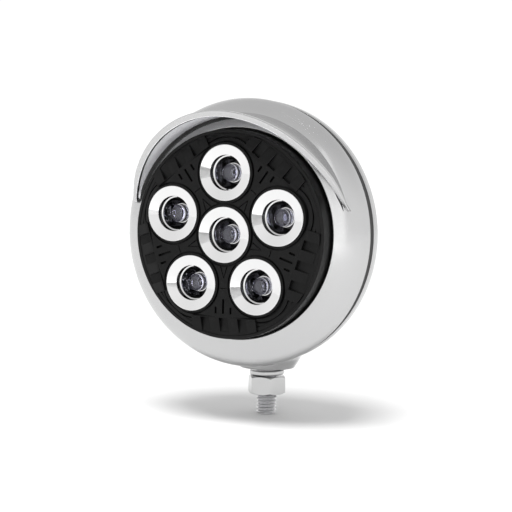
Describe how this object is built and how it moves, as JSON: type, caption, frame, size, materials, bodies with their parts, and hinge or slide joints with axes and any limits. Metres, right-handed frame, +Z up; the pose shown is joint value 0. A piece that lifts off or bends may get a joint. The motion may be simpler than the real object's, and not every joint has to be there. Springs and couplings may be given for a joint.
{
  "type": "auxiliary lamp",
  "caption": "Round chrome auxiliary lamp with LED cups in a black moulded face, a visor over the front, and a single threaded stud with lock washer and nut.",
  "frame": {"origin": "on the stud's axis, in the plane of the saddle's flat foot, which is the bracket seat", "axes": "+Z up along the stud, the lamp shines towards -Y, +X to the right of someone facing the lamp"},
  "size_m": [0.1378, 0.091, 0.1664],
  "materials": {
    "chrome_plate": "polished chrome plate",
    "black_rubber": "matte rubber",
    "black_casting": "satin black powder coat on die-cast aluminium",
    "black_moulding": "fine-textured black moulding",
    "zinc_steel": "zinc plated",
    "stainless_steel": "bright stainless",
    "nut_plate": "bright plated, satin",
    "black_board": "black solder mask on an aluminium core",
    "green_board": "green solder mask",
    "grey_pad": "soft heat-conducting pad",
    "nylon": "natural nylon",
    "brass": "machined brass",
    "ferrite": "wound ferrite drum",
    "aluminium_can": "drawn can",
    "chip_black": "moulded chip package",
    "mirror_cup": "bright vacuum plating",
    "clear_lens": "clear moulded lens",
    "emitter": "grey-green emitter on dark ceramic"
  },
  "bodies": {
    "stud": {"mount_bolt": "stainless_steel", "wave_washer": "stainless_steel"},
    "lamp_head": {"bezel": "chrome_plate", "visor": "chrome_plate", "lamp_gasket": "black_rubber", "lamp_body": "black_casting", "face_plate": "black_moulding", "face_screws": "zinc_steel", "led_board": "black_board", "thermal_pad": "grey_pad", "board_screws": "zinc_steel", "link_pins": "brass", "link_bush": "nylon", "driver_board": "green_board", "driver_screws": "zinc_steel", "driver_inductor": "ferrite", "driver_capacitors": "aluminium_can", "driver_chip": "chip_black", "driver_cover": "black_moulding", "terminal_posts": "brass", "terminal_screws": "zinc_steel", "retaining_ring": "zinc_steel", "retaining_screws": "zinc_steel", "housing_gasket": "black_rubber", "rear_housing": "chrome_plate", "housing_screws": "stainless_steel", "rear_grommet": "black_rubber", "pedestal_saddle": "chrome_plate", "inner_saddle": "zinc_steel", "reflector_1": "mirror_cup", "reflector_2": "mirror_cup", "reflector_3": "mirror_cup", "reflector_4": "mirror_cup", "reflector_5": "mirror_cup", "reflector_6": "mirror_cup", "lens_1": "clear_lens", "lens_2": "clear_lens", "lens_3": "clear_lens", "lens_4": "clear_lens", "lens_5": "clear_lens", "lens_6": "clear_lens", "led_1": "emitter", "led_2": "emitter", "led_3": "emitter", "led_4": "emitter", "led_5": "emitter", "led_6": "emitter"},
    "spring_washer": {"lock_washer": "stainless_steel"},
    "nut": {"hex_nut": "nut_plate"}
  },
  "joints": [
    {"name": "lamp_swivel", "type": "hinge", "parent": "stud", "child": "lamp_head", "pos_m": [0, 0, 0], "axis": [0, 0, 1], "range_deg": [-180, 180]},
    {"name": "nut_travel", "type": "slide", "parent": "stud", "child": "spring_washer", "axis": [0, 0, -1], "range_m": [0, 0.0096]},
    {"name": "nut_turn", "type": "hinge", "parent": "spring_washer", "child": "nut", "pos_m": [0, 0, 0], "axis": [0, 0, -1], "range_deg": [0, 1885]}
  ],
  "couplings": [
    {"joint": "nut_travel", "follows": "nut_turn", "m_per_rad": 0.00028876}
  ]
}
